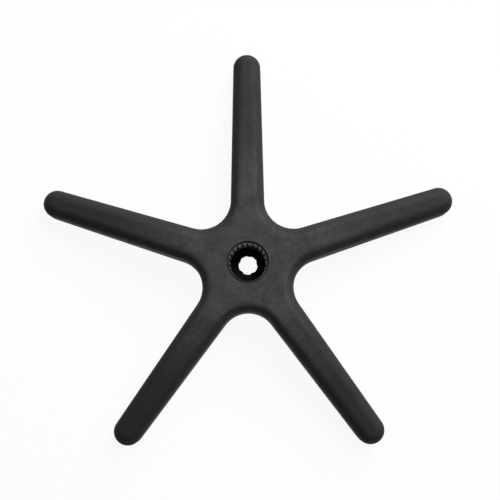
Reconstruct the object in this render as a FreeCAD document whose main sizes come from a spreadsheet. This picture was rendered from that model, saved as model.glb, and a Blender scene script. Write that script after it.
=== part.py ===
# Moulded five star base of a swivel chair.
# Millimetres, +Z up. The hub axis is Z, the feet stand on Z = 0 and the first leg points along +Y.
import FreeCAD, Part
import math
import os
from types import SimpleNamespace

import Sketcher

LEG_COUNT = 5
CROSS_RIB_COUNT = 2
FLUTE_COUNT = 22

# how far cutting profiles reach past the solid
MARGIN = 5

# the most that the shoulder rounding takes of a leg end's radius and height
END_SHARE = 0.8
HEIGHT_SHARE = 0.6

# how far up a face has to look to be a top, and how far at most to be a wall
ROOF_SHARE = 0.9
WALL_SHARE = 0.3

SIZES = [
    ("leg_reach", 300, "hub axis to the end of a leg"),
    ("leg_root_half", 25.6, "half width of a leg, carried back to the hub axis"),
    ("leg_end_radius", 19.6, "round end of a leg, about the caster socket"),
    ("valley_radius", 39.4, "plan curve between two legs"),
    ("side_draft", 1.2, "draft of the outer and inner side walls, degrees"),
    ("hub_height", 57, "foot plane to the top of the hub"),
    ("end_height", 32, "foot plane to the top of a leg, carried out to its end"),
    ("bend_run", 2.5, "from the end of the curve between two legs to where a leg's slope begins"),
    ("bend_radius", 60, "bend from the top of the hub into a leg's slope"),
    ("edge_round", 15, "rounding from the top into the side walls"),
    ("inner_bevel", 8, "bevel inside the shell, below that rounding"),
    ("side_wall", 4, "wall thickness of the sides"),
    ("roof_wall", 4.5, "wall thickness of the top"),
    ("rim_lift", 8, "height of the lower rim at the hub"),
    ("foot_length", 44, "flat foot at the end of a leg"),
    ("floor_wall", 6, "floor of the column socket"),
    ("exit_radius", 13.2, "hole through the socket floor"),
    ("nub_reach", 1.1, "nub standing into the floor hole"),
    ("nub_width", 5, "nub across"),
    ("nub_depth", 3, "nub along the hole"),
    ("nub_turn", -8, "nubs turned from the legs, degrees"),
    ("land_radius", 23.8, "plain bore at the foot of the socket"),
    ("land_length", 12, "plain bore along the socket"),
    ("seat_flare", 1.9, "how much the column taper opens above the plain bore"),
    ("lip_width", 0.8, "lip between the mouth and the trench"),
    ("lip_drop", 0.8, "lip below the top of the hub"),
    ("trench_width", 1.3, "narrow trench round the lip"),
    ("trench_depth", 3, "trench below the top of the hub"),
    ("rim_bevel", 0.9, "bevel from the top into the trench"),
    ("tube_wall", 2.8, "socket tube outside the trench"),
    ("flute_width", 2.4, "flutes in the socket wall"),
    ("flute_bite", 0.3, "flutes into the lip"),
    ("flute_depth", 30, "flutes below the top of the hub"),
    ("rib_wall", 3, "stiffening ribs"),
    ("rib_floor", 10, "lower edge of the ribs above the foot plane"),
    ("stem_radius", 5.6, "caster stem socket"),
    ("stem_depth", 26, "caster stem socket from the foot plane"),
    ("boss_wall", 4.9, "boss round a caster stem socket"),
]


class Size:
    """A number of the model, with the expression on the sheet that drives it."""

    def __init__(self, value, words):
        self.value = value
        self.words = words

    def __add__(self, other):
        return Size(self.value + sized(other).value, f"({self.words} + {sized(other).words})")

    def __sub__(self, other):
        return Size(self.value - sized(other).value, f"({self.words} - {sized(other).words})")

    def __mul__(self, other):
        return Size(self.value * sized(other).value, f"({self.words} * {sized(other).words})")

    def __truediv__(self, other):
        return Size(self.value / sized(other).value, f"({self.words} / {sized(other).words})")

    def __neg__(self):
        return Size(-self.value, f"(-{self.words})")


def sized(number):
    """A plain number as a size that nothing drives, or a size as it is."""
    return number if isinstance(number, Size) else Size(number, str(number))


def root(number):
    return Size(math.sqrt(number.value), f"sqrt({number.words})")


def least(*numbers):
    values = [number.value for number in numbers]
    return Size(min(values), "min(" + "; ".join(number.words for number in numbers) + ")")


doc = FreeCAD.newDocument("five_star_base")
sheet = doc.addObject("Spreadsheet::Sheet", "Sizes")
for row, (alias, number, meaning) in enumerate(SIZES, start=1):
    sheet.set(f"A{row}", meaning)
    sheet.set(f"B{row}", str(number))
    sheet.setAlias(f"B{row}", alias)
doc.recompute()

given = SimpleNamespace(**{alias: Size(number, f"Sizes.{alias}") for alias, number, meaning in SIZES})

# places and sizes that follow from the sheet
half_turn = math.pi / LEG_COUNT
caster_circle = given.leg_reach - given.leg_end_radius
bend_start = (given.leg_root_half + given.valley_radius) / math.tan(half_turn) + given.bend_run
slope = (given.hub_height - given.end_height) / (given.leg_reach - bend_start)
bend_half = given.bend_radius * (root(slope * slope + 1) - 1) / slope
slope_reach = given.leg_reach + MARGIN
slope_drop = slope * (slope_reach - bend_start)
valley_middle = (given.leg_root_half + given.valley_radius) / math.sin(half_turn) - given.valley_radius
hollow_corner = (given.leg_root_half - given.side_wall) / math.sin(half_turn)
valley_flat = (valley_middle - given.side_wall - hollow_corner) / math.cos(half_turn)
shoulder = least(given.edge_round, given.leg_end_radius * END_SHARE, given.end_height * HEIGHT_SHARE)
taper = (given.leg_root_half - given.leg_end_radius) / caster_circle
lip_radius = given.land_radius + given.seat_flare
trench_inside = lip_radius + given.lip_width
trench_outside = trench_inside + given.trench_width
tube_radius = trench_outside + given.tube_wall
boss_radius = given.stem_radius + given.boss_wall
cross_rib_step = (caster_circle - bend_start) / (CROSS_RIB_COUNT + 1)
rib_half = given.rib_wall / 2
rib_height = given.hub_height - given.rib_floor
underground = sized(-MARGIN)
sky = given.hub_height + MARGIN


def origin_part(body, role):
    return next(part for part in body.Origin.OriginFeatures if part.Role == role)


def new_sketch(body, name, role="XY_Plane", lift=0, turn=0):
    """A sketch on a plane of the body, lifted off it and turned in it."""
    sketch = body.newObject("Sketcher::SketchObject", name)
    sketch.AttachmentSupport = (origin_part(body, role), [""])
    sketch.MapMode = "FlatFace"
    sketch.setExpression("AttachmentOffset.Base.z", sized(lift).words)
    sketch.setExpression("AttachmentOffset.Rotation.Angle", sized(turn).words)
    return sketch


def hold_radius(sketch, geometry, radius):
    """The radius of a circle or arc, driven by the sheet."""
    index = sketch.addConstraint(Sketcher.Constraint("Radius", geometry, radius.value))
    sketch.setExpression(f"Constraints[{index}]", radius.words)


def pin(sketch, geometry, end, x, y):
    """A point held on an axis, where its place is 0, or at a place that the sheet drives."""
    for kind, axis, place in (("DistanceX", -2, x), ("DistanceY", -1, y)):
        if place == 0:
            sketch.addConstraint(Sketcher.Constraint("PointOnObject", geometry, end, axis))
        else:
            rule = Sketcher.Constraint(kind, -1, 1, geometry, end, place.value)
            sketch.setExpression(f"Constraints[{sketch.addConstraint(rule)}]", place.words)


def point(x, y):
    return FreeCAD.Vector(sized(x).value, sized(y).value, 0)


def polygon(sketch, corners):
    """A closed outline of straight edges through corners that the sheet drives."""
    points = [point(x, y) for x, y in corners]
    lines = [
        sketch.addGeometry(Part.LineSegment(start, stop))
        for start, stop in zip(points, points[1:] + points[:1])
    ]
    for line, following, (x, y) in zip(lines, lines[1:] + lines[:1], corners):
        sketch.addConstraint(Sketcher.Constraint("Coincident", line, 2, following, 1))
        pin(sketch, line, 1, x, y)


def bar(sketch, half, start, stop):
    """A straight bar in plan, centred on the Y axis."""
    polygon(sketch, [(-half, start), (half, start), (half, stop), (-half, stop)])


def circle(sketch, y, radius):
    """A circle in plan, centred on the Y axis."""
    upright = FreeCAD.Vector(0, 0, 1)
    geometry = sketch.addGeometry(Part.Circle(point(0, y), upright, radius.value))
    pin(sketch, geometry, 3, 0, y)
    hold_radius(sketch, geometry, radius)


def grown(body, kind, name, sketch, length):
    """A pad or pocket of a sketch."""
    doc.recompute()
    feature = body.newObject(kind, name)
    feature.Profile = sketch
    feature.setExpression("Length", length.words)
    return feature


def turned(body, name, sketch):
    """A groove cut by turning a sketch once round the hub axis."""
    doc.recompute()
    feature = body.newObject("PartDesign::Groove", name)
    feature.Profile = sketch
    feature.ReferenceAxis = (sketch, ["V_Axis"])
    feature.Angle = 360
    doc.recompute()
    return feature


def ringed(body, name, features, count):
    """Copies of features round the hub axis."""
    doc.recompute()
    pattern = body.newObject("PartDesign::PolarPattern", name)
    pattern.Originals = features
    pattern.Axis = (origin_part(body, "Z_Axis"), [""])
    pattern.Angle = 360
    pattern.Occurrences = count
    body.Tip = pattern
    doc.recompute()
    return pattern


def dressed(body, kind, name, base, wanted, property_name, amount):
    """A fillet or chamfer on the edges of base that wanted picks."""
    edges = [f"Edge{i}" for i, edge in enumerate(base.Shape.Edges, start=1) if wanted(edge)]
    feature = body.newObject(kind, name)
    feature.Base = (base, edges)
    feature.setExpression(property_name, amount.words)
    doc.recompute()
    return feature


def cut_away(body, name, tool):
    """The body less another body."""
    feature = body.newObject("PartDesign::Boolean", name)
    feature.Type = "Cut"
    feature.setObjects([tool])
    doc.recompute()


def is_valley(edge):
    """An upright edge where two legs meet."""
    first, last = edge.Vertexes[0], edge.Vertexes[-1]
    upright = abs(first.Z - last.Z) > edge.Length / 2
    return upright and math.hypot(first.X, first.Y) < bend_start.value


def is_circle(edge, radius, lowest, highest):
    """A round edge of a given radius, between two heights."""
    if not isinstance(edge.Curve, Part.Circle):
        return False
    same = abs(edge.Curve.Radius - radius.value) < 0.01
    return same and lowest.value < edge.BoundBox.Center.z < highest.value


def round_leg_outline(sketch):
    """One leg in plan: straight tapered sides that run into a round end."""
    half = given.leg_root_half
    radius = given.leg_end_radius
    turn = math.atan(taper.value)
    side = radius.value * math.cos(turn)
    along = caster_circle.value + radius.value * math.sin(turn)
    root_right = point(half, 0)
    root_left = point(-half, 0)
    round_end = Part.Circle(point(0, caster_circle), FreeCAD.Vector(0, 0, 1), radius.value)
    root_line = sketch.addGeometry(Part.LineSegment(root_left, root_right))
    right = sketch.addGeometry(Part.LineSegment(root_right, point(side, along)))
    end = sketch.addGeometry(Part.ArcOfCircle(round_end, turn, math.pi - turn))
    left = sketch.addGeometry(Part.LineSegment(point(-side, along), root_left))
    sketch.addConstraint(Sketcher.Constraint("Coincident", root_line, 2, right, 1))
    sketch.addConstraint(Sketcher.Constraint("Tangent", right, 2, end, 1))
    sketch.addConstraint(Sketcher.Constraint("Tangent", end, 2, left, 1))
    sketch.addConstraint(Sketcher.Constraint("Coincident", left, 2, root_line, 1))
    pin(sketch, root_line, 1, -half, 0)
    pin(sketch, root_line, 2, half, 0)
    pin(sketch, end, 3, 0, caster_circle)
    hold_radius(sketch, end, radius)


def hollow_leg_outline(sketch):
    """The hollow of one leg in plan. It ends across the caster boss, inside the round end."""
    half = given.leg_root_half - given.side_wall
    radius = given.leg_end_radius - given.side_wall
    end = caster_circle + radius / 2
    end_half = radius * math.cos(math.pi / 6)
    polygon(sketch, [(-half, 0), (half, 0), (end_half, end), (-end_half, end)])


def drafted(body, name, base):
    """Every side wall of base leaning in from the foot plane."""
    walls = [
        f"Face{i}"
        for i, face in enumerate(base.Shape.Faces, start=1)
        if face.BoundBox.ZLength > MARGIN
    ]
    feature = body.newObject("PartDesign::Draft", name)
    feature.Base = (base, walls)
    feature.NeutralPlane = (origin_part(body, "XY_Plane"), [""])
    feature.setExpression("Angle", given.side_draft.words)
    doc.recompute()
    return feature


def space_above(sketch, top):
    """What is cut off above a leg, seen from the side, with a plain corner where its slope begins."""
    polygon(
        sketch,
        [(bend_start, top), (slope_reach, top - slope_drop), (slope_reach, sky), (bend_start, sky)],
    )


def space_above_bend(sketch, top):
    """The same with a bend from the level top into the slope."""
    radius = given.bend_radius
    start = bend_start - bend_half
    angle = math.atan(slope.value)
    stop = point(start + radius * math.sin(angle), top - radius * (1 - math.cos(angle)))
    curve = Part.Circle(point(start, top - radius), FreeCAD.Vector(0, 0, 1), radius.value)
    end_low = point(slope_reach, top - slope_drop)
    end_high = point(slope_reach, sky)
    start_high = point(start, sky)
    bend = sketch.addGeometry(Part.ArcOfCircle(curve, math.pi / 2 - angle, math.pi / 2))
    run = sketch.addGeometry(Part.LineSegment(stop, end_low))
    end = sketch.addGeometry(Part.LineSegment(end_low, end_high))
    ceiling = sketch.addGeometry(Part.LineSegment(end_high, start_high))
    back = sketch.addGeometry(Part.LineSegment(start_high, point(start, top)))
    sketch.addConstraint(Sketcher.Constraint("Tangent", bend, 1, run, 1))
    sketch.addConstraint(Sketcher.Constraint("Coincident", run, 2, end, 1))
    sketch.addConstraint(Sketcher.Constraint("Coincident", end, 2, ceiling, 1))
    sketch.addConstraint(Sketcher.Constraint("Coincident", ceiling, 2, back, 1))
    sketch.addConstraint(Sketcher.Constraint("Coincident", back, 2, bend, 2))
    hold_radius(sketch, bend, radius)
    pin(sketch, bend, 2, start, top)
    pin(sketch, run, 2, slope_reach, top - slope_drop)
    pin(sketch, ceiling, 1, slope_reach, sky)
    pin(sketch, back, 1, start, sky)


def star(name, leg_outline, space_outline, valley, top):
    """A star with drafted walls and eased valleys, flat at the hub and sloped along its legs."""
    body = doc.addObject("PartDesign::Body", name)
    outline = new_sketch(body, name + "_leg_outline")
    leg_outline(outline)
    leg = grown(body, "PartDesign::Pad", name + "_leg", outline, top)
    legs = ringed(body, name + "_legs", [leg], LEG_COUNT)
    kind, property_name, amount = valley
    valleys = dressed(body, kind, name + "_valleys", legs, is_valley, property_name, amount)
    drafted(body, name + "_draft", valleys)

    above = new_sketch(body, name + "_above_slope", "YZ_Plane")
    space_outline(above, top)
    cut = grown(body, "PartDesign::Pocket", name + "_slope", above, given.leg_root_half * 2 + MARGIN)
    cut.Midplane = True
    return body, ringed(body, name + "_slopes", [cut], LEG_COUNT)


def middle_normal(face):
    u_low, u_high, v_low, v_high = face.ParameterRange
    return face.normalAt((u_low + u_high) / 2, (v_low + v_high) / 2)


def top_edges(shape):
    """A test for the edges between the top and the walls."""
    tops = [face for face in shape.Faces if middle_normal(face).z > ROOF_SHARE]
    walls = [face for face in shape.Faces if abs(middle_normal(face).z) < WALL_SHARE]

    def wanted(edge):
        on_top = any(edge.isSame(other) for face in tops for other in face.Edges)
        return on_top and any(edge.isSame(other) for face in walls for other in face.Edges)

    return wanted


def distance_out(edge):
    """From the hub axis to the middle of an edge, in plan."""
    centre = edge.BoundBox.Center
    return math.hypot(centre.x, centre.y)


def outer_star():
    """The outer skin, with soft bends and a large rounding along its whole outline."""
    valley = "PartDesign::Fillet", "Radius", given.valley_radius
    body, slopes = star("five_star_base", round_leg_outline, space_above_bend, valley, given.hub_height)
    dressed(body, "PartDesign::Fillet", "shoulder", slopes, top_edges(slopes.Shape), "Radius", shoulder)
    return body


def hollow_star():
    """The hollow of the shell, bevelled below the outer rounding, round the hub and then along the legs."""
    valley = "PartDesign::Chamfer", "Size", valley_flat
    inner_top = given.hub_height - given.roof_wall
    body, slopes = star("hollow", hollow_leg_outline, space_above, valley, inner_top)
    on_top = top_edges(slopes.Shape)
    hub_bevel = dressed(
        body, "PartDesign::Chamfer", "hub_bevel", slopes,
        lambda edge: on_top(edge) and distance_out(edge) < bend_start.value,
        "Size", given.inner_bevel,
    )
    still_on_top = top_edges(hub_bevel.Shape)
    dressed(body, "PartDesign::Chamfer", "leg_bevel", hub_bevel, still_on_top, "Size", given.inner_bevel)
    return body


def rib(body, name, half, start, stop, turn=0):
    """A straight rib in plan, from rib_floor up."""
    plan = new_sketch(body, name + "_plan", lift=given.rib_floor, turn=turn)
    bar(plan, half, start, stop)
    return grown(body, "PartDesign::Pad", name, plan, rib_height)


def ribbing():
    """What stands inside the hollow: socket tube, ribs to the legs and valleys, and caster bosses."""
    body = doc.addObject("PartDesign::Body", "ribbing")
    tube_plan = new_sketch(body, "tube_plan")
    circle(tube_plan, 0, tube_radius)
    grown(body, "PartDesign::Pad", "tube", tube_plan, given.hub_height)

    boss_plan = new_sketch(body, "boss_plan")
    circle(boss_plan, caster_circle, boss_radius)
    boss = grown(body, "PartDesign::Pad", "boss", boss_plan, given.hub_height)
    ringed(body, "bosses", [boss], LEG_COUNT)

    ribs = [
        rib(body, "leg_rib", rib_half, 0, caster_circle),
        rib(body, "valley_rib", rib_half, 0, valley_middle, turn=180 / LEG_COUNT),
    ]
    for number in range(1, CROSS_RIB_COUNT + 1):
        along = bend_start + cross_rib_step * number
        near, far = along - rib_half, along + rib_half
        ribs.append(rib(body, f"cross_rib_{number}", given.leg_root_half, near, far))
    ringed(body, "ribs", ribs, LEG_COUNT)
    return body


def lift_rim(body):
    """The lower rim slants up from each foot and is level round the hub."""
    foot_start = given.leg_reach - given.foot_length
    width = valley_middle * (2 * math.sin(half_turn)) + MARGIN
    below = new_sketch(body, "below_rim", "YZ_Plane")
    polygon(
        below,
        [
            (tube_radius, underground),
            (foot_start, underground),
            (foot_start, 0),
            (bend_start, given.rim_lift),
            (tube_radius, given.rim_lift),
        ],
    )
    rim = grown(body, "PartDesign::Pocket", "lifted_rim", below, width)
    rim.Midplane = True
    ringed(body, "lifted_rims", [rim], LEG_COUNT)


def bore_column_socket(body):
    """Floor hole, plain land, taper, lip and the trench round it, in one turned cut."""
    lip = given.hub_height - given.lip_drop
    trench = given.hub_height - given.trench_depth
    profile = new_sketch(body, "socket_profile", "XZ_Plane")
    polygon(
        profile,
        [
            (0, underground),
            (given.exit_radius, underground),
            (given.exit_radius, given.floor_wall),
            (given.land_radius, given.floor_wall),
            (given.land_radius, given.floor_wall + given.land_length),
            (lip_radius, lip),
            (trench_inside, lip),
            (trench_inside, trench),
            (trench_outside, trench),
            (trench_outside, sky),
            (0, sky),
        ],
    )
    socket = turned(body, "column_socket", profile)
    dressed(
        body, "PartDesign::Chamfer", "mouth_rim", socket,
        lambda edge: is_circle(edge, trench_outside, lip, sky),
        "Size", given.rim_bevel,
    )


def cut_flutes(body):
    """Flutes down the upper socket wall, ending on a common step."""
    plan = new_sketch(body, "flute_plan", lift=given.hub_height)
    bar(plan, given.flute_width / 2, given.land_radius, lip_radius + given.flute_bite)
    flute = grown(body, "PartDesign::Pocket", "flute", plan, given.flute_depth)
    ringed(body, "flutes", [flute], FLUTE_COUNT)


def add_nubs(body):
    """Small nubs round the hole in the socket floor."""
    plan = new_sketch(body, "nub_plan", lift=given.floor_wall - given.nub_depth, turn=given.nub_turn)
    inner = given.exit_radius - given.nub_reach
    outer = given.exit_radius + given.nub_reach
    bar(plan, given.nub_width / 2, inner, outer)
    nub = grown(body, "PartDesign::Pad", "nub", plan, given.nub_depth)
    ringed(body, "nubs", [nub], LEG_COUNT)


def bore_stem_sockets(body):
    """Blind sockets for the caster stems, from below."""
    plan = new_sketch(body, "stem_plan")
    circle(plan, caster_circle, given.stem_radius)
    stem = grown(body, "PartDesign::Pocket", "stem_socket", plan, given.stem_depth)
    stem.Reversed = True
    ringed(body, "stem_sockets", [stem], LEG_COUNT)


hollow = hollow_star()
cut_away(hollow, "cells", ribbing())
base = outer_star()
lift_rim(base)
bore_column_socket(base)
cut_flutes(base)
add_nubs(base)
bore_stem_sockets(base)
cut_away(base, "hollowed", hollow)

for item in doc.Objects:
    if "Invalid" in item.State or "Error" in item.State:
        raise RuntimeError(f"{item.Name} failed: {item.State}")
if base.Shape.isNull() or not base.Shape.isValid() or len(base.Shape.Solids) != 1:
    raise RuntimeError("the base is not one valid solid")

os.makedirs("parts", exist_ok=True)
base.Shape.exportStep(os.path.join("parts", base.Label + ".step"))
print("volume cm3", round(base.Shape.Volume / 1000, 1), base.Shape.BoundBox)
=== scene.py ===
# Moulded five star base of a swivel chair: its finish, the studio round it and the camera.
# Metres, +Z up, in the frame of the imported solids: the hub axis is Z and the first leg points along +Y.
import math

import bpy
from bpy.props import FloatProperty, FloatVectorProperty, PointerProperty
from bpy.types import Operator, Panel, PropertyGroup
from mathutils import Matrix, Quaternion, Vector


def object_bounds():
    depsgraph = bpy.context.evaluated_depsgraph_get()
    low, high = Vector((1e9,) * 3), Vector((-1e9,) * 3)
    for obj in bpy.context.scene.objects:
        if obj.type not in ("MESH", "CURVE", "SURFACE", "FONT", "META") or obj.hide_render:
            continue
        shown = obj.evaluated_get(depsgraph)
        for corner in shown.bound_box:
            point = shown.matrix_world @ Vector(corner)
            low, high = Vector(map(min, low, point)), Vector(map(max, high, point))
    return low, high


bl_info = {
    "name": "Five Star Base",
    "version": (1, 0, 0),
    "blender": (4, 5, 0),
    "location": "3D View > Sidebar > Star Base",
    "description": "Finishes a moulded swivel chair base and sets it in a pale studio",
    "category": "Object",
}

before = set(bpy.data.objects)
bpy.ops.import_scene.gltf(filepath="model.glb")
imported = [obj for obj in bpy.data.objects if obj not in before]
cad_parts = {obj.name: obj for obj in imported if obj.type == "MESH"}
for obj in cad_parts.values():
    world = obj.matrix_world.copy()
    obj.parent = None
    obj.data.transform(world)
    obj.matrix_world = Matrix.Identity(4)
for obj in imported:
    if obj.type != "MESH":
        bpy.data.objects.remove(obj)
CAD_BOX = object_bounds()
NODE = "five_star_base"
HUB_TOP = CAD_BOX[1].z

# marks in the nylon: scale per metre, and the span of each noise over which it shows
FINE_SCALE = 420.0
SPECK_SCALE = 170.0
CLOUD_SPAN = 0.25, 0.75
BLOTCH_SPAN = 0.34, 0.62
FINE_SPAN = 0.35, 0.75
SPECK_SPAN = 0.19, 0.07
SPECKED_CLOUDS = 0.5, 0.62

# bloom that is everywhere, and what each mark adds to it
EVEN_TONE = 0.20
CLOUD_TONE = 0.18
BLOTCH_TONE = 0.12
FINE_TONE = 0.12
SPECK_TONE = 0.90

# how far up a face looks between a flank and a level face, for the painted shade on flanks, and between a
# wall and the underside
PAINTED_FLANK_SHADE_SPAN = 0.86, 0.99
UNDER_SPAN = -0.3, -0.5

# core finish in the socket, darker as painted shade in the recess: inside the lip, below the top of the
# hub, and the height of its edge
CORE_INSET = 0.0002
CORE_DROP = 0.0012
CORE_FADE = 0.0004
CORE_COARSE = 2.0

# roughness on either side of its mean, the marks that drive it, and the strength of the grain
SKIN_SPREAD = 0.06
CORE_SPREAD = 0.04
GLOSS_SPAN = 0.0, 1.6
GRAIN_STRENGTH = 0.6
FLAT_GRAIN = 0.5

# half the width of the floor, its gap under the feet, and the heights between wall and ceiling light
FLOOR_HALF = 12.0
FLOOR_GAP = 0.0002
ROOM_SPAN = 0.1, 0.8

SENSOR_WIDTH = 36.0


def length(name, description, default):
    return FloatProperty(
        name=name, description=description, default=default, min=0.0, unit="LENGTH", precision=5
    )


def share(name, description, default):
    return FloatProperty(
        name=name, description=description, default=default, min=0.0, max=1.0, subtype="FACTOR"
    )


def angle(name, description, degrees):
    return FloatProperty(name=name, description=description, default=math.radians(degrees), subtype="ANGLE")


def colour(name, description, default):
    return FloatVectorProperty(
        name=name, description=description, default=default, size=3, min=0.0, max=1.0, subtype="COLOR"
    )


class MouldedFinish(PropertyGroup):
    """Colours and textures of the black nylon, with painted light and painted shade put into its bloom."""

    skin: colour("Skin", "Nylon on the textured outside", (0.0125, 0.0125, 0.0127))
    # pale dust and fibre, which also stands as painted light on the hub and on level faces
    bloom_and_painted_light: colour("Bloom", "Paler nylon where fibre and dust come to the surface", (0.075, 0.075, 0.0755))
    # painted light: the bloom is full round the hub and thins out to the leg ends, a pool of light painted
    # on the nylon
    painted_light_start: length("Bloom start", "Hub axis to where the bloom begins to thin", 0.06)
    painted_light_end: length("Bloom end", "Hub axis to where the bloom is thinnest", 0.22)
    painted_light_at_ends: share("Bloom at the ends", "Bloom on the leg ends, of that on the hub", 0.12)
    # painted shade: flanks keep only this share of the bloom, so they render darker than level faces
    painted_shade_flank_share: share("Bloom on flanks", "Bloom on the flanks, of that on level faces", 0.28)
    core: colour("Core side", "Nylon on the smooth inside of socket and shell", (0.013, 0.013, 0.0132))
    core_bloom: colour("Core bloom", "Paler flow marks on the smooth inside", (0.022, 0.022, 0.0224))
    socket_radius: length("Socket radius", "Column socket at its lip", 0.0258)
    mottle_size: length("Mottle", "Breadth of the cloudy patches", 0.030)
    blotch_size: length("Blotch", "Breadth of the small blotches", 0.0075)
    grain_size: length("Grain", "Breadth of the eroded texture", 0.0011)
    grain_depth: length("Grain depth", "Depth of the eroded texture", 0.00006)
    sheen: share("Sheen", "Specular level of the nylon", 0.27)
    skin_roughness: share("Roughness", "Roughness of the outside", 0.74)
    core_roughness: share("Core roughness", "Roughness of the inside", 0.32)


class PhotoStudio(PropertyGroup):
    """Camera, lamps and floor."""

    focal_length: FloatProperty(
        name="Focal length", description="Lens of the camera", default=60.0, min=1.0, unit="CAMERA"
    )
    distance: length("Distance", "Camera to the middle of the view", 1.122)
    lean_right: angle("Lean right", "Camera off the upright towards +X", 0.4)
    lean_front: angle("Lean front", "Camera off the upright towards -Y", 6.1)
    roll: angle("Roll", "Camera about its own axis", -0.37)
    aim: FloatVectorProperty(
        name="Aim", description="Middle of the view", default=(0.0032, 0.0162, HUB_TOP), size=3,
        subtype="TRANSLATION"
    )
    key_azimuth: angle("Key azimuth", "Key softbox round the hub axis, from +X", 57.0)
    key_lean: angle("Key lean", "Key softbox off the upright", 52.0)
    key_distance: length("Key distance", "Key softbox to the hub", 3.0)
    key_size: length("Key size", "Key softbox across", 2.2)
    key_power: FloatProperty(
        name="Key", description="Power of the key softbox", default=160.0, min=0.0, unit="POWER"
    )
    wall_light: share("Walls", "Light that comes from the walls of the room", 0.34)
    ceiling_light: share("Ceiling", "Light that comes from overhead", 0.06)
    floor_color: colour("Floor", "Pale floor", (0.8, 0.8, 0.8))
    floor_white: share("Floor white", "How far the floor is lifted to white in view", 0.93)


def new_material(name):
    """An empty material, its node tree and its output."""
    material = bpy.data.materials.new(name)
    material.use_nodes = True
    tree = material.node_tree
    tree.nodes.clear()
    output = tree.nodes.new("ShaderNodeOutputMaterial")
    return material, tree, output


def join(tree, source, target):
    """A link between two sockets."""
    tree.links.new(source, target)


def texture(tree, kind, vector, **values):
    """A texture node fed with a vector, its inputs set by name."""
    node = tree.nodes.new(kind)
    join(tree, vector, node.inputs["Vector"])
    for name, value in values.items():
        node.inputs[name.replace("_", " ")].default_value = value
    return node


def ramp(tree, value, low, high, out_low=0.0, out_high=1.0):
    """A value mapped smoothly from one span to another."""
    node = tree.nodes.new("ShaderNodeMapRange")
    node.interpolation_type = "SMOOTHSTEP"
    for name, number in (("From Min", low), ("From Max", high), ("To Min", out_low), ("To Max", out_high)):
        node.inputs[name].default_value = number
    join(tree, value, node.inputs["Value"])
    return node.outputs["Result"]


def calc(tree, operation, first, second):
    """Arithmetic on two values, each a socket or a number."""
    node = tree.nodes.new("ShaderNodeMath")
    node.operation = operation
    for socket, value in zip(node.inputs, (first, second)):
        if isinstance(value, bpy.types.NodeSocket):
            join(tree, value, socket)
        else:
            socket.default_value = value
    return node.outputs["Value"]


def nylon_group():
    """Cloudy patches, blotches, specks and eroded grain of moulded nylon, outside and inside."""
    tree = bpy.data.node_groups.new("moulded_nylon", "ShaderNodeTree")
    face = tree.interface
    face.new_socket("Position", in_out="INPUT", socket_type="NodeSocketVector")
    for name in ("Mottle Scale", "Blotch Scale", "Grain Scale"):
        face.new_socket(name, in_out="INPUT", socket_type="NodeSocketFloat")
    for name in ("Tone", "Gloss", "Grain"):
        face.new_socket(name, in_out="OUTPUT", socket_type="NodeSocketFloat")
    inside = tree.nodes.new("NodeGroupInput")
    outside = tree.nodes.new("NodeGroupOutput")
    position = inside.outputs["Position"]

    clouds = texture(tree, "ShaderNodeTexNoise", position, Detail=4.0, Roughness=0.58)
    join(tree, inside.outputs["Mottle Scale"], clouds.inputs["Scale"])
    blotches = texture(tree, "ShaderNodeTexNoise", position, Detail=2.0, Roughness=0.5)
    join(tree, inside.outputs["Blotch Scale"], blotches.inputs["Scale"])
    fine = texture(tree, "ShaderNodeTexNoise", position, Scale=FINE_SCALE, Detail=3.0, Roughness=0.6)
    specks = texture(tree, "ShaderNodeTexVoronoi", position, Scale=SPECK_SCALE, Randomness=1.0)
    grain = texture(tree, "ShaderNodeTexNoise", position, Detail=2.0, Roughness=0.5)
    join(tree, inside.outputs["Grain Scale"], grain.inputs["Scale"])

    cloudy = ramp(tree, clouds.outputs["Fac"], *CLOUD_SPAN)
    blotched = ramp(tree, blotches.outputs["Fac"], *BLOTCH_SPAN)
    mottled = ramp(tree, fine.outputs["Fac"], *FINE_SPAN)
    specked = calc(
        tree, "MULTIPLY",
        ramp(tree, specks.outputs["Distance"], *SPECK_SPAN),
        ramp(tree, clouds.outputs["Fac"], *SPECKED_CLOUDS),
    )
    tone = EVEN_TONE
    marks = (cloudy, CLOUD_TONE), (blotched, BLOTCH_TONE), (mottled, FINE_TONE), (specked, SPECK_TONE)
    for mark, weight in marks:
        tone = calc(tree, "ADD", calc(tree, "MULTIPLY", mark, weight), tone)
    join(tree, tone, outside.inputs["Tone"])
    join(tree, calc(tree, "ADD", cloudy, mottled), outside.inputs["Gloss"])
    join(tree, grain.outputs["Fac"], outside.inputs["Grain"])
    return tree


def blended(tree, mask, first, second, data_type="FLOAT"):
    """Two values or colours, each a socket or plain, blended by a mask."""
    node = tree.nodes.new("ShaderNodeMix")
    node.data_type = data_type
    kind = {"FLOAT": "VALUE", "RGBA": "RGBA"}[data_type]
    sockets = [socket for socket in node.inputs if socket.type == kind and socket.name in ("A", "B")]
    for socket, value in zip(sockets, (first, second)):
        if isinstance(value, bpy.types.NodeSocket):
            join(tree, value, socket)
        else:
            socket.default_value = value
    join(tree, mask, node.inputs["Factor"])
    return next(socket for socket in node.outputs if socket.type == kind)


def from_axis(tree, position):
    """Distance from the hub axis, and height."""
    place = tree.nodes.new("ShaderNodeSeparateXYZ")
    join(tree, position, place.inputs["Vector"])
    squares = [calc(tree, "MULTIPLY", place.outputs[axis], place.outputs[axis]) for axis in "XY"]
    return calc(tree, "SQRT", calc(tree, "ADD", *squares), 0.0), place.outputs["Z"]


def upward(tree):
    """How far a face looks up: one on level faces, zero on upright walls."""
    facing = tree.nodes.new("ShaderNodeNewGeometry")
    look = tree.nodes.new("ShaderNodeSeparateXYZ")
    join(tree, facing.outputs["Normal"], look.inputs["Vector"])
    return look.outputs["Z"]


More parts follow.
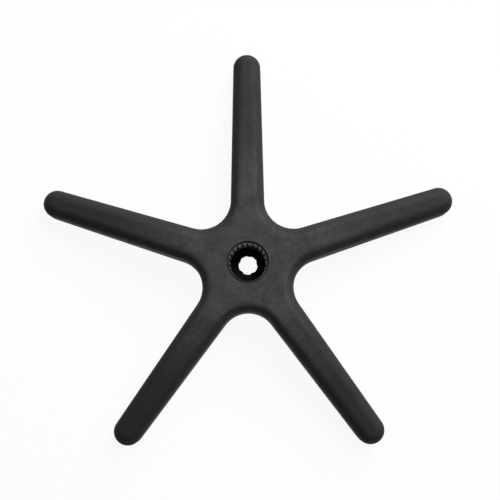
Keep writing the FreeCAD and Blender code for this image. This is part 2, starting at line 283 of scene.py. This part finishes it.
def core_and_shade_mask(tree, out, height, up, socket_radius):
    """One inside the column socket and on faces that look down, where the steel core was smooth, and where
    painted shade keeps the nylon dark.
    """
    core_top = HUB_TOP - CORE_DROP
    within = ramp(tree, out, socket_radius, socket_radius - CORE_INSET)
    below = ramp(tree, height, core_top, core_top - CORE_FADE)
    under = ramp(tree, up, *UNDER_SPAN)
    return calc(tree, "MAXIMUM", calc(tree, "MULTIPLY", within, below), under)


def nylon_marks(tree, group, position, finish, coarse=1.0):
    """The shared marks, made coarser by a factor."""
    marks = tree.nodes.new("ShaderNodeGroup")
    marks.node_tree = group
    marks.inputs["Mottle Scale"].default_value = 1.0 / (finish.mottle_size * coarse)
    marks.inputs["Blotch Scale"].default_value = 1.0 / (finish.blotch_size * coarse)
    marks.inputs["Grain Scale"].default_value = 1.0 / (finish.grain_size * coarse)
    join(tree, position, marks.inputs["Position"])
    return marks.outputs


def nylon_material(finish):
    """Black nylon, textured and dusty outside, with painted light round the hub and painted shade on the
    flanks, and smooth on the core side, where painted shade keeps the socket and underside dark.
    """
    material, tree, output = new_material("moulded_nylon")
    shader = tree.nodes.new("ShaderNodeBsdfPrincipled")
    shader.inputs["Specular IOR Level"].default_value = finish.sheen
    position = tree.nodes.new("ShaderNodeTexCoord").outputs["Object"]
    out, height = from_axis(tree, position)
    group = nylon_group()
    skin = nylon_marks(tree, group, position, finish)
    core = nylon_marks(tree, group, position, finish, CORE_COARSE)
    up = upward(tree)
    # painted shade: the socket and the faces that look down take the darker core colour, without the pale
    # bloom
    inside = core_and_shade_mask(tree, out, height, up, finish.socket_radius)

    # painted light: a pool of light on the hub that fades towards the leg ends
    painted_light_pool = ramp(tree, out, finish.painted_light_start, finish.painted_light_end, 1.0, finish.painted_light_at_ends)
    # painted shade: the bloom thins on flanks, so flanks are darker than level faces
    level = ramp(tree, up, *PAINTED_FLANK_SHADE_SPAN, finish.painted_shade_flank_share, 1.0)
    # random marks of pale dust and fibre, scaled by the painted light pool and the painted flank shade
    dust_and_painted_light = calc(tree, "MULTIPLY", skin["Tone"], calc(tree, "MULTIPLY", painted_light_pool, level))
    skin_colour = blended(tree, dust_and_painted_light, (*finish.skin, 1.0), (*finish.bloom_and_painted_light, 1.0), "RGBA")
    core_colour = blended(tree, core["Tone"], (*finish.core, 1.0), (*finish.core_bloom, 1.0), "RGBA")
    join(tree, blended(tree, inside, skin_colour, core_colour, "RGBA"), shader.inputs["Base Color"])

    rough = finish.skin_roughness
    smooth = finish.core_roughness
    skin_gloss = ramp(tree, skin["Gloss"], *GLOSS_SPAN, rough + SKIN_SPREAD, rough - SKIN_SPREAD)
    core_gloss = ramp(tree, core["Gloss"], *GLOSS_SPAN, smooth + CORE_SPREAD, smooth - CORE_SPREAD)
    join(tree, blended(tree, inside, skin_gloss, core_gloss), shader.inputs["Roughness"])

    relief = tree.nodes.new("ShaderNodeBump")
    relief.inputs["Strength"].default_value = GRAIN_STRENGTH
    relief.inputs["Distance"].default_value = finish.grain_depth
    join(tree, blended(tree, inside, skin["Grain"], FLAT_GRAIN), relief.inputs["Height"])
    join(tree, relief.outputs["Normal"], shader.inputs["Normal"])
    join(tree, shader.outputs["BSDF"], output.inputs["Surface"])
    return material


class STARBASE_OT_moulded_base(Operator):
    """Gives the moulded base its textured outside and smooth inside"""

    bl_idname = "starbase.moulded_base"
    bl_label = "Moulded base"

    def execute(self, context):
        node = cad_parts[NODE]
        node.material_slots[0].material = nylon_material(context.scene.starbase_finish)
        return {"FINISHED"}


def key_softbox(studio):
    """A large square lamp that faces the hub from behind its right side."""
    lamp = bpy.data.lights.new("key_softbox", "AREA")
    lamp.energy = studio.key_power
    lamp.size = studio.key_size
    out = math.sin(studio.key_lean)
    away = Vector((
        out * math.cos(studio.key_azimuth), out * math.sin(studio.key_azimuth), math.cos(studio.key_lean)
    ))
    lamp_object = bpy.data.objects.new("key_softbox", lamp)
    lamp_object.location = away * studio.key_distance
    lamp_object.rotation_euler = (-away).to_track_quat("-Z", "Y").to_euler()
    bpy.context.scene.collection.objects.link(lamp_object)


def in_view(tree):
    """A mask of the rays from the camera, straight, mirrored or refracted."""
    path = tree.nodes.new("ShaderNodeLightPath")
    mask = calc(tree, "MAXIMUM", path.outputs["Is Camera Ray"], path.outputs["Is Glossy Ray"])
    return calc(tree, "MAXIMUM", mask, path.outputs["Is Transmission Ray"])


def pale_floor(studio):
    """A wide floor just under the feet, lifted towards white in view and open from below."""
    corners = [
        (x * FLOOR_HALF, y * FLOOR_HALF, -FLOOR_GAP) for x, y in ((-1, -1), (1, -1), (1, 1), (-1, 1))
    ]
    mesh = bpy.data.meshes.new("floor")
    mesh.from_pydata(corners, [], [(0, 1, 2, 3)])
    floor = bpy.data.objects.new("floor", mesh)
    bpy.context.scene.collection.objects.link(floor)

    material, tree, output = new_material("pale_floor")
    paint = tree.nodes.new("ShaderNodeBsdfDiffuse")
    paint.inputs["Color"].default_value = (*studio.floor_color, 1.0)
    white = tree.nodes.new("ShaderNodeEmission")
    lifted = tree.nodes.new("ShaderNodeMixShader")
    join(tree, calc(tree, "MULTIPLY", in_view(tree), studio.floor_white), lifted.inputs["Fac"])
    join(tree, paint.outputs["BSDF"], lifted.inputs[1])
    join(tree, white.outputs["Emission"], lifted.inputs[2])
    side = tree.nodes.new("ShaderNodeNewGeometry")
    clear = tree.nodes.new("ShaderNodeBsdfTransparent")
    one_sided = tree.nodes.new("ShaderNodeMixShader")
    join(tree, side.outputs["Backfacing"], one_sided.inputs["Fac"])
    join(tree, lifted.outputs["Shader"], one_sided.inputs[1])
    join(tree, clear.outputs["BSDF"], one_sided.inputs[2])
    join(tree, one_sided.outputs["Shader"], output.inputs["Surface"])
    mesh.materials.append(material)


def room_light(studio):
    """Soft grey light, stronger from the walls than from overhead, and white where the camera sees it."""
    world = bpy.data.worlds.new("room")
    world.use_nodes = True
    tree = world.node_tree
    tree.nodes.clear()
    output = tree.nodes.new("ShaderNodeOutputWorld")
    glow = tree.nodes.new("ShaderNodeBackground")
    glow.inputs["Color"].default_value = (1.0, 1.0, 1.0, 1.0)
    direction = tree.nodes.new("ShaderNodeTexCoord")
    parts = tree.nodes.new("ShaderNodeSeparateXYZ")
    join(tree, direction.outputs["Generated"], parts.inputs["Vector"])
    room = ramp(tree, parts.outputs["Z"], *ROOM_SPAN, studio.wall_light, studio.ceiling_light)
    path = tree.nodes.new("ShaderNodeLightPath")
    join(tree, blended(tree, path.outputs["Is Camera Ray"], room, 1.0), glow.inputs["Strength"])
    join(tree, glow.outputs["Background"], output.inputs["Surface"])
    bpy.context.scene.world = world


def photo_camera(studio):
    """The camera, almost straight above the hub."""
    lens = bpy.data.cameras.new("camera")
    lens.lens = studio.focal_length
    lens.sensor_width = SENSOR_WIDTH
    back = Vector((math.tan(studio.lean_right), -math.tan(studio.lean_front), 1.0)).normalized()
    right = Vector((0.0, 1.0, 0.0)).cross(back).normalized()
    upright = Matrix((right, back.cross(right), back)).transposed().to_quaternion()
    camera = bpy.data.objects.new("camera", lens)
    camera.location = Vector(studio.aim) + back * studio.distance
    camera.rotation_euler = (upright @ Quaternion((0.0, 0.0, 1.0), studio.roll)).to_euler()
    bpy.context.scene.collection.objects.link(camera)
    bpy.context.scene.camera = camera


class STARBASE_OT_studio(Operator):
    """Sets up the floor, the lamps and the camera"""

    bl_idname = "starbase.studio"
    bl_label = "Studio"

    def execute(self, context):
        studio = context.scene.starbase_studio
        context.scene.view_settings.view_transform = "Standard"
        pale_floor(studio)
        room_light(studio)
        key_softbox(studio)
        photo_camera(studio)
        return {"FINISHED"}


class VIEW3D_PT_star_base(Panel):
    """Sizes, colours and steps of the star base"""

    bl_label = "Star Base"
    bl_space_type = "VIEW_3D"
    bl_region_type = "UI"
    bl_category = "Star Base"

    def draw(self, context):
        for group in (context.scene.starbase_finish, context.scene.starbase_studio):
            for name in group.__annotations__:
                self.layout.prop(group, name)
        for step in STEPS:
            self.layout.operator(step.bl_idname)


STEPS = (STARBASE_OT_moulded_base, STARBASE_OT_studio)
CLASSES = (MouldedFinish, PhotoStudio, *STEPS, VIEW3D_PT_star_base)


def register():
    for kind in CLASSES:
        bpy.utils.register_class(kind)
    bpy.types.Scene.starbase_finish = PointerProperty(type=MouldedFinish)
    bpy.types.Scene.starbase_studio = PointerProperty(type=PhotoStudio)


def unregister():
    del bpy.types.Scene.starbase_studio
    del bpy.types.Scene.starbase_finish
    for kind in reversed(CLASSES):
        bpy.utils.unregister_class(kind)


def main():
    register()
    bpy.ops.starbase.moulded_base()
    bpy.ops.starbase.studio()


if __name__ == "__main__":
    main()
